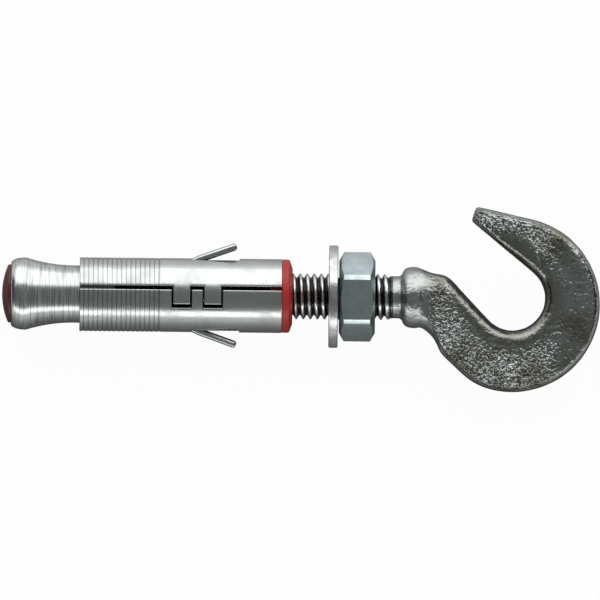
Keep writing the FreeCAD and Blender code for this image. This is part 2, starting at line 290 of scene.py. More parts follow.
def blended_colour(tree, value, low, high, first, second):
    """A colour that turns from one to another as a pattern's value rises from low to high."""
    share = add_node(
        tree, "ShaderNodeMapRange", {"Value": value, "From Min": low, "From Max": high}
    ).outputs[0]
    return add_node(
        tree, "ShaderNodeMix", {0: share, 6: rgba(first), 7: rgba(second)}, data_type="RGBA"
    ).outputs[2]


def add_surface(tree, look, relief, height, strength=1):
    """Ends a material's nodes: a bump of a real height, the shader and the output."""
    bump = add_node(
        tree, "ShaderNodeBump", {"Height": relief, "Strength": strength, "Distance": height}
    ).outputs["Normal"]
    shader = add_node(tree, "ShaderNodeBsdfPrincipled", {**look, "Normal": bump})
    add_node(tree, "ShaderNodeOutputMaterial", {"Surface": shader.outputs["BSDF"]})


def distance(tree, place, axes):
    """How far a place is from the origin, by the axes that count. The shank's axis is X."""
    part = add_node(
        tree, "ShaderNodeVectorMath", {0: place, 1: axes}, operation="MULTIPLY"
    ).outputs[0]
    return add_node(tree, "ShaderNodeVectorMath", {0: part}, operation="LENGTH").outputs["Value"]


def plated_steel(name, bright, dull, patch, roughness, grain, grain_height, hollow_shade=None):
    """Zinc-plated steel: bright and dull patches of a real size, and a fine grain of a real height.

    A hollow is painted shade, darker towards its bottom: (radius of its dark bottom, radius of its
    bright edge, share of the colour that is left at its bottom).
    """
    material, tree, place = blank_material(name)
    patches = add_node(
        tree,
        "ShaderNodeTexNoise",
        {"Vector": place, "Scale": 1 / patch, "Detail": 4, "Roughness": 0.55},
    ).outputs["Fac"]
    tint = blended_colour(tree, patches, 0.35, 0.65, bright, dull)
    if hollow_shade:
        bottom, edge, dark = hollow_shade
        # Painted shade: the colour darkens by radius towards the bottom.
        radius = distance(tree, place, (0, 1, 1))
        depth = add_node(
            tree,
            "ShaderNodeMapRange",
            {"Value": radius, "From Min": bottom, "From Max": edge, "To Min": dark},
        ).outputs[0]
        tint = add_node(
            tree, "ShaderNodeVectorMath", {0: tint, "Scale": depth}, operation="SCALE"
        ).outputs[0]
    least = roughness - 0.06
    most = roughness + 0.08
    rough = add_node(
        tree,
        "ShaderNodeMapRange",
        {"Value": patches, "From Min": 0.3, "From Max": 0.7, "To Min": least, "To Max": most},
    ).outputs[0]
    grains = add_node(
        tree,
        "ShaderNodeTexNoise",
        {"Vector": place, "Scale": 1 / grain, "Detail": 3, "Roughness": 0.6},
    ).outputs["Fac"]
    look = {"Base Color": tint, "Metallic": 1, "Roughness": rough}
    add_surface(tree, look, grains, grain_height)
    return material


def turned_steel(name, bright, dull):
    """Turned and zinc-plated steel, with rings of tool marks and dull streaks that run round it.

    The real marks are about 0.2 mm apart, too fine to show. The rings are drawn 0.45 mm apart
    and the streaks 0.3 mm wide.
    """
    material, tree, place = blank_material(name)
    along = add_node(tree, "ShaderNodeSeparateXYZ", {0: place}).outputs["X"]
    rings = add_node(
        tree,
        "ShaderNodeTexNoise",
        {"W": along, "Scale": 1 / (0.45 * MM), "Detail": 3, "Roughness": 0.7},
        noise_dimensions="1D",
    ).outputs["Fac"]
    stretched = add_node(
        tree,
        "ShaderNodeMapping",
        {"Vector": place, "Scale": (1 / (0.30 * MM), 1 / (6 * MM), 1 / (6 * MM))},
    ).outputs[0]
    streaks = add_node(
        tree, "ShaderNodeTexNoise", {"Vector": stretched, "Scale": 1, "Detail": 2}
    ).outputs["Fac"]
    tint = blended_colour(tree, streaks, 0.35, 0.7, bright, dull)
    look = {"Base Color": tint, "Metallic": 1, "Roughness": 0.24}
    add_surface(tree, look, rings, 0.01 * MM, strength=0.5)
    return material


def bowl_reach(tree, level, mouth):
    """How far a place is from the bowl's middle, or from the short line out towards the mouth."""
    flat = add_node(
        tree, "ShaderNodeVectorMath", {0: level, 1: (1, 1, 0)}, operation="MULTIPLY"
    ).outputs[0]
    outwards = (math.cos(mouth), math.sin(mouth), 0)
    passed = add_node(
        tree, "ShaderNodeVectorMath", {0: flat, 1: outwards}, operation="DOT_PRODUCT"
    ).outputs["Value"]
    line = 6 * MM
    passed = add_node(
        tree, "ShaderNodeMapRange", {"Value": passed, "From Max": line, "To Max": line}
    ).outputs[0]
    nearest = add_node(
        tree, "ShaderNodeVectorMath", {0: outwards, "Scale": passed}, operation="SCALE"
    ).outputs[0]
    off = add_node(
        tree, "ShaderNodeVectorMath", {0: flat, 1: nearest}, operation="SUBTRACT"
    ).outputs[0]
    return add_node(tree, "ShaderNodeVectorMath", {0: off}, operation="LENGTH").outputs["Value"]


def through_ramps(tree, value, rows):
    """A value joined with one ramp after another.

    Each row is a measure, two values of it, what the ramp gives at each, and how it is joined.
    """
    for measure, low, high, at_low, at_high, joined in rows:
        ramp = add_node(
            tree,
            "ShaderNodeMapRange",
            {"Value": measure, "From Min": low, "From Max": high, "To Min": at_low, "To Max": at_high},
        ).outputs[0]
        value = add_node(tree, "ShaderNodeMath", {0: value, 1: ramp}, operation=joined).outputs[0]
    return value


def forged_steel(name, zinc, scale, roll, bowl, mouth, boss_end):
    """Drop-forged and plated steel: pits of about 0.65 mm left by the scale on the flat faces.

    The boss, the flanks, the band along the bowl and the mouth, and the hook's back are smoother.
    """
    material, tree, place = blank_material(name)
    level = add_node(
        tree,
        "ShaderNodeMapping",
        {"Vector": place, "Rotation": (-roll, 0, 0), "Location": [-c for c in bowl]},
    ).outputs[0]
    reach = bowl_reach(tree, level, mouth)
    along = add_node(tree, "ShaderNodeSeparateXYZ", {0: level}).outputs["X"]
    normal = add_node(tree, "ShaderNodeTexCoord").outputs["Normal"]
    facing = add_node(
        tree,
        "ShaderNodeVectorMath",
        {0: normal, 1: (0, -math.sin(roll), math.cos(roll))},
        operation="DOT_PRODUCT",
    ).outputs["Value"]
    facing = add_node(tree, "ShaderNodeMath", {0: facing}, operation="ABSOLUTE").outputs[0]
    boss = boss_end - bowl[0]
    # How much of the pits is left by the bowl and mouth, on the back, the boss and the flanks.
    rows = (
        (reach, 9.3 * MM, 12.0 * MM, 0.2, 1, "MULTIPLY"),
        (along, 6 * MM, 11 * MM, 1, 0.3, "MULTIPLY"),
        (along, boss, boss + 2 * MM, 0.2, 1, "MULTIPLY"),
        (facing, 0.7, 0.92, 0.2, 1, "MULTIPLY"),
    )
    pitted = through_ramps(tree, 1, rows)
    patches = add_node(
        tree, "ShaderNodeTexNoise", {"Vector": place, "Scale": 1 / (9 * MM), "Detail": 3}
    ).outputs["Fac"]
    pits = add_node(
        tree,
        "ShaderNodeTexNoise",
        {"Vector": place, "Scale": 1 / (0.65 * MM), "Detail": 1, "Distortion": 0.3},
    ).outputs["Fac"]
    depth = add_node(tree, "ShaderNodeMath", {0: 0.5, 1: pits}, operation="SUBTRACT").outputs[0]
    depth = add_node(tree, "ShaderNodeMath", {0: depth, 1: pitted}, operation="MULTIPLY").outputs[0]
    swells = add_node(
        tree, "ShaderNodeTexNoise", {"Vector": place, "Scale": 1 / (1.8 * MM), "Detail": 1}
    ).outputs["Fac"]
    swells = add_node(tree, "ShaderNodeMath", {0: swells, 1: 0.3}, operation="MULTIPLY").outputs[0]
    height = add_node(
        tree, "ShaderNodeMath", {0: pits, 1: pitted, 2: swells}, operation="MULTIPLY_ADD"
    ).outputs[0]
    # Scale shows in patches and by the bowl and mouth. The flanks get the scale's colour as painted
    # shade. Neither reaches the boss.
    scale_and_flank_shade = add_node(
        tree, "ShaderNodeMapRange", {"Value": patches, "From Min": 0.4, "From Max": 0.62}
    ).outputs[0]
    rows = (
        (reach, 9 * MM, 12.5 * MM, 0.7, 0, "MAXIMUM"),
        (facing, 0.55, 0.8, 0.6, 0, "MAXIMUM"),
        (along, boss - MM, boss + 3 * MM, 0, 1, "MULTIPLY"),
    )
    scale_and_flank_shade = through_ramps(tree, scale_and_flank_shade, rows)
    tint = add_node(
        tree, "ShaderNodeMix", {0: scale_and_flank_shade, 6: rgba(zinc), 7: rgba(scale)}, data_type="RGBA"
    ).outputs[2]
    # Painted shade: the colour is darker where the pits are deep.
    shade = add_node(
        tree,
        "ShaderNodeMapRange",
        {"Value": depth, "From Min": -0.02, "From Max": 0.12, "To Min": 1, "To Max": 0.55},
    ).outputs[0]
    tint = add_node(
        tree, "ShaderNodeVectorMath", {0: tint, "Scale": shade}, operation="SCALE"
    ).outputs[0]
    rough = add_node(
        tree,
        "ShaderNodeMapRange",
        {"Value": patches, "From Min": 0.3, "From Max": 0.7, "To Min": 0.2, "To Max": 0.34},
    ).outputs[0]
    look = {"Base Color": tint, "Metallic": 1, "Roughness": rough}
    add_surface(tree, look, height, 0.55 * MM)
    return material


def moulded_plastic(name, shade):
    """Moulded polyamide: an even colour with a soft sheen and a faint mould grain."""
    material, tree, place = blank_material(name)
    grain, mottle = [
        add_node(
            tree, "ShaderNodeTexNoise", {"Vector": place, "Scale": 1 / size, "Detail": 3}
        ).outputs["Fac"]
        for size in (0.5 * MM, 3 * MM)
    ]
    deeper = [c * 0.8 for c in shade]
    tint = blended_colour(tree, mottle, 0.35, 0.7, shade, deeper)
    look = {"Base Color": tint, "Roughness": 0.42, "IOR": 1.53}
    add_surface(tree, look, grain, 0.03 * MM, strength=0.5)
    return material


def new_object(bm, name):
    """An object of the scene that takes over a finished mesh."""
    mesh = bpy.data.meshes.new(name)
    bm.to_mesh(mesh)
    bm.free()
    made = bpy.data.objects.new(name, mesh)
    bpy.context.scene.collection.objects.link(made)
    return made


def place_piece(bm, name, material, body, nodes, roll=0.0):
    """Turns a finished mesh about the shank, makes it an object and lets it ride for its nodes."""
    bmesh.ops.rotate(bm, cent=CENTRE, matrix=Matrix.Rotation(roll, 3, AXIS), verts=bm.verts[:])
    piece = new_object(bm, name)
    piece.data.shade_smooth()
    piece.data.materials.append(material)
    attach(piece, body)
    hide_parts(*nodes)
    return piece


def round_off(bm, geom, rounding, segments, affect="EDGES"):
    """Rounds edges or corners of a mesh."""
    bmesh.ops.bevel(
        bm,
        geom=geom,
        offset=rounding,
        offset_type="OFFSET",
        affect=affect,
        segments=segments,
        profile=0.5,
        material=-1,
        clamp_overlap=True,
    )


def turn(points, closed=False):
    """A shell turned about the shank's axis. Each point is (x, radius, rounding of that corner)."""
    bm = bmesh.new()
    corners = [bm.verts.new((x, 0, radius)) for x, radius, _ in points]
    pairs = list(zip(corners, corners[1:]))
    if closed:
        pairs.append((corners[-1], corners[0]))
    for pair in pairs:
        bm.edges.new(pair)
    for corner, (_, _, rounding) in zip(corners, points):
        if rounding:
            round_off(bm, [corner], rounding, 4, "VERTICES")
    bmesh.ops.spin(
        bm,
        geom=bm.verts[:] + bm.edges[:],
        cent=CENTRE,
        axis=AXIS,
        angle=math.tau,
        steps=TURN_STEPS,
        use_merge=True,
    )
    bmesh.ops.remove_doubles(bm, verts=bm.verts[:], dist=MERGE)
    bmesh.ops.recalc_face_normals(bm, faces=bm.faces[:])
    return bm


def cad_copy(node):
    """A copy of a CAD node's mesh, with its loose triangles merged."""
    bm = bmesh.new()
    bm.from_mesh(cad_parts[node].data)
    bmesh.ops.remove_doubles(bm, verts=bm.verts[:], dist=MERGE)
    return bm


def after_modifier(bm, kind, **settings):
    """The mesh as a modifier leaves it."""
    blank = new_object(bm, "blank")
    mesh = blank.data
    modifier = blank.modifiers.new("shape", kind)
    for name, value in settings.items():
        setattr(modifier, name, value)
    evaluated = blank.evaluated_get(bpy.context.evaluated_depsgraph_get())
    result = bmesh.new()
    result.from_mesh(evaluated.data)
    bpy.data.objects.remove(blank)
    bpy.data.meshes.remove(mesh)
    return result


def lattice(columns, rows):
    """A flat sheet of faces whose lines lie at these places along X and Y."""
    bm = bmesh.new()
    bmesh.ops.create_grid(bm, x_segments=len(columns) - 1, y_segments=len(rows) - 1, size=1)
    for vert in bm.verts:
        column = round((vert.co.x + 1) / 2 * (len(columns) - 1))
        row = round((vert.co.y + 1) / 2 * (len(rows) - 1))
        vert.co = Vector((columns[column], rows[row], 0))
    return bm


def spaced(marks, step, clear):
    """The marks, with more lines between them a step apart that keep clear of them."""
    marks = sorted(marks)
    lines = [mark for before, mark in zip([-math.inf, *marks], marks) if mark - before > MERGE]
    for low, high in list(zip(lines, lines[1:])):
        count = max(1, round((high - low) / step))
        if high - low > 2 * clear:
            lines += [low + (high - low) * k / count for k in range(1, count)]
    return sorted(lines)


def sleeve_grooves(s):
    """The middle and width of each groove round the sleeve's front, from the front edge."""
    for number in range(s.rib_count):
        last = number == s.rib_count - 1
        yield s.rib_start + number * s.rib_pitch, s.band_groove_width if last else s.groove_width


def sleeve_tongues(s):
    """The front and rear end of each tongue in the seam, from the front edge."""
    for number in range(s.tongue_count):
        start = s.tongue_start + number * s.tongue_pitch
        yield start, start + s.tongue_length


def seam_edges(s):
    """Where the strip's two edges lie round the wall at the seam, from the top of the wall."""
    seam = s.seam_angle * s.diameter / 2
    return seam + s.seam_gap / 2, seam - s.seam_gap / 2 + math.pi * s.diameter


def wing_centres(s):
    """Where each wing lies round the wall, from the top of the wall."""
    quarter = math.tau / 4 * s.diameter / 2
    for number in range(s.wing_count):
        yield quarter + math.tau * s.diameter / 2 * number / s.wing_count


def is_cut_away(s, place):
    """Whether a place on the rolled-out strip lies in the seam's gap or in a wing's slot."""
    upper_edge, lower_edge = seam_edges(s)
    in_tongue = any(start < place.x < end for start, end in sleeve_tongues(s))
    gap = s.tongue_side_gap
    in_notch = any(start - gap < place.x < end + gap for start, end in sleeve_tongues(s))
    if place.y < upper_edge and not in_tongue:
        return True
    if place.y > lower_edge - s.tongue_reach and in_notch:
        return True
    along = place.x - s.wing_start
    if 0 < along < s.wing_length + s.wing_slot_gap:
        for centre in wing_centres(s):
            off = abs(place.y - centre)
            beyond = along > s.wing_length or off > s.wing_width / 2
            if off < s.wing_width / 2 + s.wing_slot_gap and beyond:
                return True
    return False


def in_wing(s, place):
    """Whether a place on the strip lies in a wing, past its root."""
    root = 0.5 * MM
    along = place.x - s.wing_start
    reach = s.wing_width / 2 + MERGE
    across = min(abs(place.y - centre) for centre in wing_centres(s))
    return root < along < s.wing_length + MERGE and across < reach


def sleeve_strip(s):
    """The rolled-out strip with its thickness and rounded edges: outer face at Z 0."""
    wing_end = s.wing_start + s.wing_length
    columns = [0, s.rear - s.front, s.wing_start, wing_end, wing_end + s.wing_slot_gap]
    for middle, width in sleeve_grooves(s):
        columns += [middle - width / 2, middle, middle + width / 2]
    for start, end in sleeve_tongues(s):
        columns += [start - s.tongue_side_gap, start, end, end + s.tongue_side_gap]
    upper_edge, lower_edge = seam_edges(s)
    rows = [upper_edge - s.tongue_reach, upper_edge, lower_edge - s.tongue_reach, lower_edge]
    for centre in wing_centres(s):
        half = s.wing_width / 2
        slot = half + s.wing_slot_gap
        rows += [centre - slot, centre - half, centre + half, centre + slot]
    step = 0.6 * MM
    clear = 0.4 * MM
    bm = lattice(spaced(columns, step, clear), spaced(rows, step, clear))
    away = [face for face in bm.faces if is_cut_away(s, face.calc_center_median())]
    bmesh.ops.delete(bm, geom=away, context="FACES")
    bmesh.ops.solidify(bm, geom=bm.faces[:], thickness=s.wall)
    top = max(vert.co.z for vert in bm.verts)
    bmesh.ops.translate(bm, verts=bm.verts[:], vec=(0, 0, -top))
    bmesh.ops.recalc_face_normals(bm, faces=bm.faces[:])
    # Only sheared edges bend outwards by more than 60 degrees. A wing's are pressed rounder.
    share = bm.edges.layers.float.new("bevel_weight_edge")
    for edge in bm.edges:
        if edge.calc_face_angle_signed() > math.radians(60):
            on_wing = all(in_wing(s, vert.co) for vert in edge.verts)
            edge[share] = 1 if on_wing else s.edge_rounding / s.wing_rounding
    bm = after_modifier(bm, "BEVEL", limit_method="WEIGHT", width=s.wing_rounding, segments=4)
    for middle, width in sleeve_grooves(s):
        for vert in bm.verts:
            if abs(vert.co.x - middle) < width / 4 and vert.co.z > -s.wall / 2:
                vert.co.z = min(vert.co.z, -s.groove_depth)
    return bm


def roll_sleeve(bm, s):
    """Rolls the strip round the shank's axis and bends its wings out."""
    outer = s.diameter / 2
    for vert in bm.verts:
        strip = vert.co.copy()
        turn_angle = strip.y / outer
        reach = outer + strip.z
        vert.co = Vector(
            (s.front + strip.x, reach * math.sin(turn_angle), reach * math.cos(turn_angle))
        )
        along = strip.x - s.wing_start
        if not 0 < along < s.wing_length + s.wing_slot_gap / 2:
            continue
        for centre in wing_centres(s):
            if abs(strip.y - centre) > s.wing_width / 2 + s.wing_slot_gap / 2:
                continue
            out = Vector((0, math.sin(centre / outer), math.cos(centre / outer)))
            height = vert.co.dot(out) - outer
            share = min(along / s.wing_bend, 1)
            bend = s.wing_angle * share
            radius = s.wing_bend / s.wing_angle
            straight = max(along - s.wing_bend, 0)
            forward = radius * math.sin(bend) + straight * math.cos(bend)
            up = radius * (1 - math.cos(bend)) + straight * math.sin(bend)
            up += s.wing_lift * share * share * (3 - 2 * share)
            vert.co += AXIS * (forward - height * math.sin(bend) - along)
            vert.co += out * (up + height * (math.cos(bend) - 1))
    return bm


class HOOK_ANCHOR_OT_sleeve(Operator):
    """Roll the ribbed sleeve, with its seam and wings"""

    bl_idname = "hook_anchor.sleeve"
    bl_label = "Expansion sleeve"

    def execute(self, context):
        settings = context.scene.hook_anchor
        s = settings.sleeve
        # Rolled strip keeps a soft, slightly cloudy zinc finish from the barrel it is plated in.
        outer = s.diameter / 2
        steel = plated_steel(
            "barrel_plated_strip",
            s.zinc,
            s.dull_zinc,
            patch=4 * MM,
            roughness=0.24,
            grain=0.35 * MM,
            grain_height=0.01 * MM,
            # Painted shade: darker in the grooves and on all that lies below the outer face, such as
            # the sheared edges.
            hollow_shade=(outer - s.groove_depth, outer - 0.02 * MM, 0.45),
        )
        bm = roll_sleeve(sleeve_strip(s), s)
        roll = settings.studio.rest_roll
        place_piece(
            bm, "ribbed_sleeve", steel, "sleeve", ["expansion_sleeve"], roll
        )
        return {"FINISHED"}


class HOOK_ANCHOR_OT_collar(Operator):
    """Turn the plastic collar at the sleeve's mouth"""

    bl_idname = "hook_anchor.collar"
    bl_label = "Sleeve collar"

    def execute(self, context):
        s = context.scene.hook_anchor.collar
        back = -s.boss_height - s.flange
        # Moulded polyamide is an even, slightly glossy red.
        plastic = moulded_plastic("moulded_red_polyamide", s.plastic)
        bm = turn(
            [
                (back - s.spigot, s.bore / 2, 0),
                (back - s.spigot, s.spigot_radius, s.rounding / 2),
                (back, s.spigot_radius, 0),
                (back, s.rim_radius, s.rounding / 2),
                (-s.boss_height - s.rounding, s.rim_radius, s.rounding),
                (0, s.boss_radius, s.rounding),
                (0, s.bore / 2, 0),
            ],
            closed=True,
        )
        place_piece(bm, "moulded_collar", plastic, "sleeve", ["sleeve_collar"])
        return {"FINISHED"}


class HOOK_ANCHOR_OT_cone(Operator):
    """Turn the threaded cone with its concave flare"""

    bl_idname = "hook_anchor.cone"
    bl_label = "Cone nut"

    def execute(self, context):
        s = context.scene.hook_anchor.cone
        # Turned steel shows fine rings, and the plating makes its highlights bright.
        steel = turned_steel("turned_zinc_steel", s.zinc, s.dull_zinc)
        widest = s.diameter / 2
        nose = s.nose_diameter / 2
        land = 0.2 * MM
        points = [
            (s.face, s.bore / 2, 0),
            (s.neck_rear, s.bore / 2, 0),
            (s.neck_rear, s.neck_radius, 0.2 * MM),
            (s.flare_start, s.neck_radius, 0),
        ]
        steps = 16
        for step in range(1, steps + 1):
            share = step / steps
            x = s.flare_start + (s.flare_end - s.flare_start) * share
            points.append((x, s.neck_radius + (widest - s.neck_radius) * share**2, 0))
        for step in range(1, steps + 1):
            turn_angle = math.pi / 2 * step / steps
            x = s.flare_end - land + (s.face - s.flare_end + land) * math.sin(turn_angle)
            points.append((x, nose + (widest - nose) * math.cos(turn_angle), 0))
        bm = turn(points, closed=True)
        place_piece(bm, "turned_cone", steel, "cone", ["cone_nut"])
        return {"FINISHED"}


class HOOK_ANCHOR_OT_plug(Operator):
    """Turn the domed plug in the cone's nose"""

    bl_idname = "hook_anchor.plug"
    bl_label = "Cone plug"

    def execute(self, context):
        s = context.scene.hook_anchor.cone
        # The same moulded plastic as the collar, in a deeper red.
        plastic = moulded_plastic("moulded_maroon_polyamide", s.plug_colour)
        rim = s.plug_diameter / 2
        front = s.face - s.plug_rim
        sphere = (rim**2 + s.plug_dome**2) / (2 * s.plug_dome)
        clearance = 0.02 * MM
        points = [
            (s.face + s.plug_stem, 0, 0),
            (s.face + s.plug_stem, s.bore / 2 - clearance, 0.2 * MM),
            (s.face, s.bore / 2 - clearance, 0),
            (s.face, rim, 0.1 * MM),
            (front, rim, 0.25 * MM),
        ]
        steps = 12
        for step in range(1, steps + 1):
            radius = rim * (1 - step / steps)
            x = front - s.plug_dome + sphere - math.sqrt(sphere**2 - radius**2)
            points.append((x, radius, 0))
        bm = turn(points)
        place_piece(bm, "domed_plug", plastic, "cone", ["cone_plug"])
        return {"FINISHED"}


class HOOK_ANCHOR_OT_washer(Operator):
    """Turn the stamped washer"""

    bl_idname = "hook_anchor.washer"
    bl_label = "Washer"

    def execute(self, context):
        s = context.scene.hook_anchor.washer
        # Stamped and barrel-plated sheet is pale and slightly cloudy, with small dents.
        steel = plated_steel(
            "stamped_zinc_steel",
            s.zinc,
            s.dull_zinc,
            patch=2.5 * MM,
            roughness=0.26,
            grain=0.6 * MM,
            grain_height=0.03 * MM,
        )
        rear = s.place + s.thickness
        bm = turn(
            [
                (s.place, s.bore / 2, 0.1 * MM),
                (s.place, s.diameter / 2, s.rounding),
                (rear, s.diameter / 2, s.rounding),
                (rear, s.bore / 2, 0.1 * MM),
            ],
            closed=True,
        )
        place_piece(bm, "stamped_washer", steel, "washer", ["washer"])
        return {"FINISHED"}


class HOOK_ANCHOR_OT_nut(Operator):
    """Round the edges of the hexagon nut"""

    bl_idname = "hook_anchor.nut"
    bl_label = "Hexagon nut"

    def execute(self, context):
        s = context.scene.hook_anchor.nut
        # Cold-forged steel under blue zinc plate: flat, cloudy faces with soft edges.
        steel = plated_steel(
            "blue_zinc_steel",
            s.zinc,
            s.dull_zinc,
            patch=3 * MM,
            roughness=0.30,
            grain=0.5 * MM,
            grain_height=0.006 * MM,
        )
        bm = cad_copy("hex_nut")
        bmesh.ops.dissolve_limit(bm, angle_limit=math.radians(2), verts=bm.verts[:], edges=bm.edges[:])
        # Blunter edges only part the facets of the bore and the chamfers.
        blunt = math.radians(20)
        edges = [e for e in bm.edges if len(e.link_faces) == 2 and e.calc_face_angle() > blunt]
        round_off(bm, edges, s.rounding, 3)
        piece = place_piece(bm, "hexagon_nut", steel, "nut", ["hex_nut"])
        piece.data.set_sharp_from_angle(angle=math.radians(40))
        return {"FINISHED"}


def cut_off(bm, place, normal):
    """Takes away what lies past a place on the shank's axis, and closes the cut."""
    cut = bmesh.ops.bisect_plane(
        bm,
        geom=bm.verts[:] + bm.edges[:] + bm.faces[:],
        plane_co=AXIS * place,
        plane_no=normal,
        clear_outer=True,
    )["geom_cut"]
    rim = [part for part in cut if isinstance(part, bmesh.types.BMEdge)]
    bmesh.ops.holes_fill(bm, edges=rim, sides=0)


def threaded_shank(s):
    """The shank with its rolled right-hand thread, cut square at its end and run out at the other."""
    bm = bmesh.new()
    flank = (s.thread_pitch - s.crest_flat - s.root_flat) / 2
    tooth = [
        (0, s.root_radius),
        (flank, s.thread_radius),
        (flank + s.crest_flat, s.thread_radius),
        (2 * flank + s.crest_flat, s.root_radius),
    ]
    first = s.shank_end - 2 * s.thread_pitch
    turns = math.ceil((s.cut - first) / s.thread_pitch) + 1
    line = []
    for number in range(turns):
        for x, radius in tooth:
            line.append(bm.verts.new((first + number * s.thread_pitch + x, 0, radius)))
    for pair in zip(line, line[1:]):
        bm.edges.new(pair)
    steps = 72
    bmesh.ops.spin(
        bm,
        geom=bm.verts[:] + bm.edges[:],
        cent=CENTRE,
        axis=AXIS,
        dvec=AXIS * (s.thread_pitch / steps),
        angle=math.tau,
        steps=steps,
    )
    bmesh.ops.remove_doubles(bm, verts=bm.verts[:], dist=MERGE)
    overlap = 0.4 * MM
    cut_off(bm, s.shank_end, -AXIS)
    cut_off(bm, s.cut + overlap, AXIS)
    # Where the shank ends in the forging it is a hair thinner, so that no two skins coincide.
    inset = 0.01 * MM
    for vert in bm.verts:
        radius = math.hypot(vert.co.y, vert.co.z)
        if radius < MERGE:
            continue
        fade = min(max((vert.co.x - s.thread_end) / (s.cut - s.thread_end), 0), 1)
        wanted = radius + (s.blank_radius - inset - radius) * fade
        chamfer = s.thread_radius - s.shank_chamfer + (vert.co.x - s.shank_end)
        wanted = min(wanted, chamfer)
        vert.co.y *= wanted / radius
        vert.co.z *= wanted / radius
    bmesh.ops.recalc_face_normals(bm, faces=bm.faces[:])
    return bm


def forged_body(s):
    """The boss and the hook from the frame, given an even skin and a forging's small unevenness."""
    bm = cad_copy("forged_hook")
    cut_off(bm, s.cut, -AXIS)
    body = after_modifier(bm, "REMESH", mode="VOXEL", voxel_size=s.skin)
    for _ in range(3):
        bmesh.ops.smooth_vert(
            body, verts=body.verts[:], factor=0.5, use_axis_x=True, use_axis_y=True, use_axis_z=True
        )
    body.normal_update()
    # The waves start at the cut and are at their full height 4 mm past it.
    fade_length = 4 * MM
    finer = 2.7
    moves = []
    for vert in body.verts:
        fade = min(max((vert.co.x - s.cut) / fade_length, 0), 1)
        wave = noise.noise(vert.co / s.wave_size) - 0.5
        wave += 0.5 * noise.noise(vert.co / s.wave_size * finer)
        moves.append(vert.normal * (s.waves * wave * fade))
    for vert, move in zip(body.verts, moves):
        vert.co += move
    return body


class HOOK_ANCHOR_OT_hook(Operator):
    """Forge the hook and roll the thread on its shank"""

    bl_idname = "hook_anchor.hook"
    bl_label = "Forged hook"

    def execute(self, context):
        settings = context.scene.hook_anchor
        s = settings.hook
        # Drop-forged steel, descaled and plated, is dark and pitted like orange peel.
        bowl = (s.bowl_x, s.bowl_y, 0)
        roll = settings.studio.rest_roll
        forged = forged_steel(
            "forged_zinc_steel", s.zinc, s.scale, roll, bowl, s.mouth_angle, s.boss_end
        )
        # The thread is rolled after forging, so its flanks are smooth and bright.
        rolled = plated_steel(
            "rolled_thread_steel",
            s.thread_zinc,
            s.zinc,
            patch=2 * MM,
            roughness=0.2,
            grain=0.3 * MM,
            grain_height=0.005 * MM,
            # Painted shade: the thread's roots are darkened almost to black.
            hollow_shade=(s.root_radius + 0.4 * MM, s.thread_radius - 0.14 * MM, 0.04),
        )
        body = forged_body(s)
        shank = threaded_shank(s)
        mesh = bpy.data.meshes.new("shank")
        shank.to_mesh(mesh)
        shank.free()
        before = len(body.faces)
        body.from_mesh(mesh)
        bpy.data.meshes.remove(mesh)
        body.faces.ensure_lookup_table()
        for face in body.faces[before:]:
            face.material_index = 1
        piece = place_piece(body, "hook_and_shank", forged, "hook", ["forged_hook"])
        piece.data.materials.append(rolled)
        return {"FINISHED"}


def area_light(name, place, width, height, power):
    """A soft box that faces the anchor."""
    light = bpy.data.lights.new(name, "AREA")
    light.shape = "RECTANGLE"
    light.size = width
    light.size_y = height
    light.energy = power
    lamp = bpy.data.objects.new(name, light)
    lamp.location = place
    lamp.rotation_euler = (CENTRE - Vector(place)).to_track_quat("-Z", "Y").to_euler()
    bpy.context.scene.collection.objects.link(lamp)
    return lamp


def studio_world():
    """An even white room: full white to the eye and in reflections, softer as light."""
    world = bpy.data.worlds.new("white_room")
    world.use_nodes = True
    tree = world.node_tree
    tree.nodes.clear()
    path = add_node(tree, "ShaderNodeLightPath").outputs
    seen = add_node(
        tree, "ShaderNodeMath", {0: path["Is Camera Ray"], 1: path["Is Glossy Ray"]}, operation="ADD"
    ).outputs[0]
    seen = add_node(
        tree,
        "ShaderNodeMath",
        {0: seen, 1: path["Is Transmission Ray"]},
        operation="ADD",
        use_clamp=True,
    ).outputs[0]
    strength = add_node(tree, "ShaderNodeMapRange", {"Value": seen, "To Min": 0.6}).outputs[0]
    room = add_node(tree, "ShaderNodeBackground", {"Color": (1, 1, 1, 1), "Strength": strength})
    add_node(tree, "ShaderNodeOutputWorld", {"Surface": room.outputs[0]})
    bpy.context.scene.world = world


def white_floor(shade):
    """Matt white paper that shows as the white background, with a faint shadow.

    These are its shares of plain white. The rest is paper in the light of the room.
    """
    to_camera = 0.97
    in_mirrors = 0.15
    material, tree, _ = blank_material("matt_white_paper")
    path = add_node(tree, "ShaderNodeLightPath").outputs
    mirrored = add_node(
        tree,
        "ShaderNodeMath",
        {0: path["Is Glossy Ray"], 1: path["Is Transmission Ray"]},
        operation="MAXIMUM",
    ).outputs[0]
    mirrored = add_node(
        tree, "ShaderNodeMath", {0: mirrored, 1: in_mirrors}, operation="MULTIPLY"
    ).outputs[0]
    seen = add_node(
        tree, "ShaderNodeMath", {0: path["Is Camera Ray"], 1: to_camera}, operation="MULTIPLY"
    ).outputs[0]
    share = add_node(tree, "ShaderNodeMath", {0: seen, 1: mirrored}, operation="MAXIMUM").outputs[0]
    paper = add_node(tree, "ShaderNodeBsdfDiffuse", {"Color": rgba(shade)})
    glow = add_node(tree, "ShaderNodeEmission", {"Color": (1, 1, 1, 1), "Strength": 1.0})
    mix = add_node(tree, "ShaderNodeMixShader", {0: share, 1: paper.outputs[0], 2: glow.outputs[0]})
    add_node(tree, "ShaderNodeOutputMaterial", {"Surface": mix.outputs[0]})
    return material


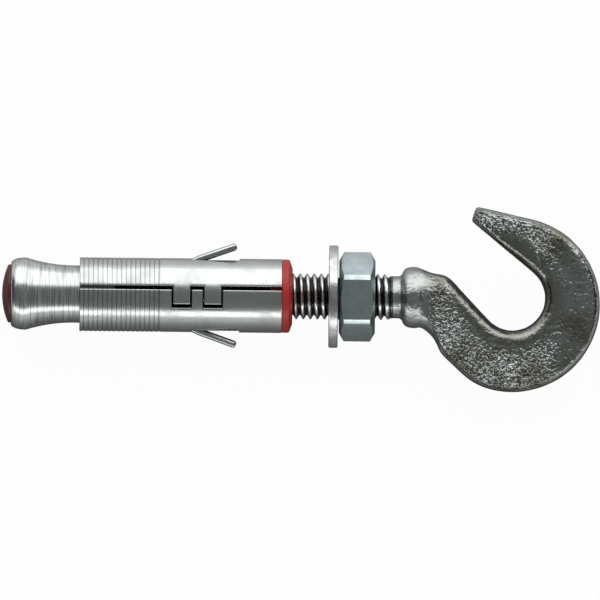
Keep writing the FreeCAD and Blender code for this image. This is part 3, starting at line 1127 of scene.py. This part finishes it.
def grey_card(name, shade, fade=None):
    """A card that the metal mirrors as its dark side.

    A fade is (middle, axes that count, distance where it starts, distance where it ends).
    """
    material, tree, place = blank_material(name)
    tint = rgba(shade)
    if fade:
        middle, axes, near, far = fade
        off = add_node(
            tree, "ShaderNodeVectorMath", {0: place, 1: middle}, operation="SUBTRACT"
        ).outputs[0]
        off = distance(tree, off, axes)
        tint = blended_colour(tree, off, near, far, shade, (0.5, 0.5, 0.5))
    glow = add_node(tree, "ShaderNodeEmission", {"Color": tint, "Strength": 1.0})
    add_node(tree, "ShaderNodeOutputMaterial", {"Surface": glow.outputs[0]})
    return material


def flat_sheet(name, matrix, width, height, material):
    """A rectangle of the stage, placed by its mesh."""
    bm = bmesh.new()
    bmesh.ops.create_grid(bm, x_segments=1, y_segments=1, size=0.5)
    bmesh.ops.scale(bm, vec=(width, height, 1), verts=bm.verts[:])
    bmesh.ops.transform(bm, matrix=matrix, verts=bm.verts[:])
    sheet = new_object(bm, name)
    sheet.data.materials.append(material)
    return sheet


def mirrored_cards(s, lowest):
    """The cards that give the metal its dark bands, and that only reflections show."""
    # One card leans over the anchor, and one stands beyond each of its ends.
    tilt = Matrix.Rotation(math.radians(30), 4, AXIS)
    above = Matrix.Translation((0, 0, 0.6))
    grey = grey_card("grey_card", s.card)
    cards = [flat_sheet("card", tilt @ above, width=3, height=1.14, material=grey)]
    dark = grey_card("dark_card", s.end_card)
    for name, x in (("end_card_front", -0.7), ("end_card_rear", 0.7)):
        upright = Matrix.Translation((x, 0, 0.3)) @ Matrix.Rotation(math.pi / 2, 4, "Y")
        cards.append(flat_sheet(name, upright, width=0.62, height=0.9, material=dark))
    # Two lie just over the floor, as painted shadow: in reflections they stand for the anchor's
    # shadow on the floor. The one under the sleeve fades to its sides, and the one under the hook all
    # round. Rows give names, the middle, the axes that count, where the fade starts and ends, how high
    # the card lies, its width and its height, in millimetres.
    for name, look, spot, axes, near, far, lift, width, height in (
        ("under_shadow_card", "faded_card", (-30, -6, 0), (0, 1, 0), 0, 40, 0.3, 120, 80),
        ("hook_shadow_card", "round_faded_card", (44, 0, 0), (1, 1, 0), 24, 50, 0.2, 100, 100),
    ):
        middle = Vector(spot) * MM
        faded = grey_card(look, s.under_shadow_card, (middle, axes, near * MM, far * MM))
        under = Matrix.Translation(middle + Vector((0, 0, lowest + lift * MM)))
        cards.append(flat_sheet(name, under, width * MM, height * MM, faded))
    for card in cards:
        card.visible_camera = False
        card.visible_diffuse = False
        card.visible_shadow = False


class HOOK_ANCHOR_OT_studio(Operator):
    """Set up the floor, the lights and the camera"""

    bl_idname = "hook_anchor.studio"
    bl_label = "Studio"

    def execute(self, context):
        s = context.scene.hook_anchor.studio
        towards = Vector((0, -math.sin(s.rest_roll), math.cos(s.rest_roll)))
        across = Vector((0, math.cos(s.rest_roll), math.sin(s.rest_roll)))
        right = AXIS * math.cos(s.camera_roll) + across * math.sin(s.camera_roll)
        up = across * math.cos(s.camera_roll) - AXIS * math.sin(s.camera_roll)
        middle = AXIS * s.view_x + across * s.view_y

        camera = bpy.data.objects.new("camera", bpy.data.cameras.new("camera"))
        camera.data.type = "ORTHO"
        camera.data.ortho_scale = s.view_width
        camera.data.clip_start = 0.01
        camera.data.clip_end = 10
        turned = Matrix((right, up, towards)).transposed().to_4x4()
        camera.matrix_world = Matrix.Translation(middle + towards * s.camera_distance) @ turned
        context.scene.collection.objects.link(camera)
        context.scene.camera = camera

        lowest = cad_bounds[0][2]
        paper = white_floor(s.floor)
        flat_sheet("floor", Matrix.Translation((0, 0, lowest)), width=6, height=6, material=paper)
        mirrored_cards(s, lowest)
        area_light("key", (0.05, 0.5, 0.5), width=1.4, height=0.8, power=3.4)
        front = area_light("front", (0, -0.6, 0.13), width=1.4, height=0.17, power=1.2)
        front.visible_diffuse = False
        studio_world()
        context.scene.view_settings.view_transform = "Standard"
        return {"FINISHED"}


class HOOK_ANCHOR_PT_panel(Panel):
    """Lists the anchor's pieces"""

    bl_label = "Hook anchor"
    bl_idname = "HOOK_ANCHOR_PT_panel"
    bl_space_type = "VIEW_3D"
    bl_region_type = "UI"
    bl_category = "Hook anchor"

    def draw(self, context):
        settings = context.scene.hook_anchor
        for label, group, operators in PIECES:
            box = self.layout.box()
            box.label(text=label)
            for name in getattr(settings, group).bl_rna.properties.keys():
                if name not in ("rna_type", "name"):
                    box.prop(getattr(settings, group), name)
            for operator in operators:
                box.operator(operator)


PIECES = (
    ("Sleeve", "sleeve", ("hook_anchor.sleeve",)),
    ("Collar", "collar", ("hook_anchor.collar",)),
    ("Cone and plug", "cone", ("hook_anchor.cone", "hook_anchor.plug")),
    ("Washer", "washer", ("hook_anchor.washer",)),
    ("Nut", "nut", ("hook_anchor.nut",)),
    ("Hook", "hook", ("hook_anchor.hook",)),
    ("Studio", "studio", ("hook_anchor.studio",)),
)

CLASSES = (
    SleeveSettings,
    ConeSettings,
    CollarSettings,
    WasherSettings,
    NutSettings,
    HookSettings,
    StudioSettings,
    AnchorSettings,
    HOOK_ANCHOR_OT_sleeve,
    HOOK_ANCHOR_OT_collar,
    HOOK_ANCHOR_OT_cone,
    HOOK_ANCHOR_OT_plug,
    HOOK_ANCHOR_OT_washer,
    HOOK_ANCHOR_OT_nut,
    HOOK_ANCHOR_OT_hook,
    HOOK_ANCHOR_OT_studio,
    HOOK_ANCHOR_PT_panel,
)


def register():
    """Registers the classes and gives each scene its settings."""
    for item in CLASSES:
        bpy.utils.register_class(item)
    bpy.types.Scene.hook_anchor = PointerProperty(type=AnchorSettings)


def unregister():
    """Takes the settings and the classes away again."""
    del bpy.types.Scene.hook_anchor
    for item in reversed(CLASSES):
        bpy.utils.unregister_class(item)


def main():
    register()
    for _, _, operators in PIECES:
        for operator in operators:
            group, name = operator.split(".")
            getattr(getattr(bpy.ops, group), name)()


if __name__ == "__main__":
    main()
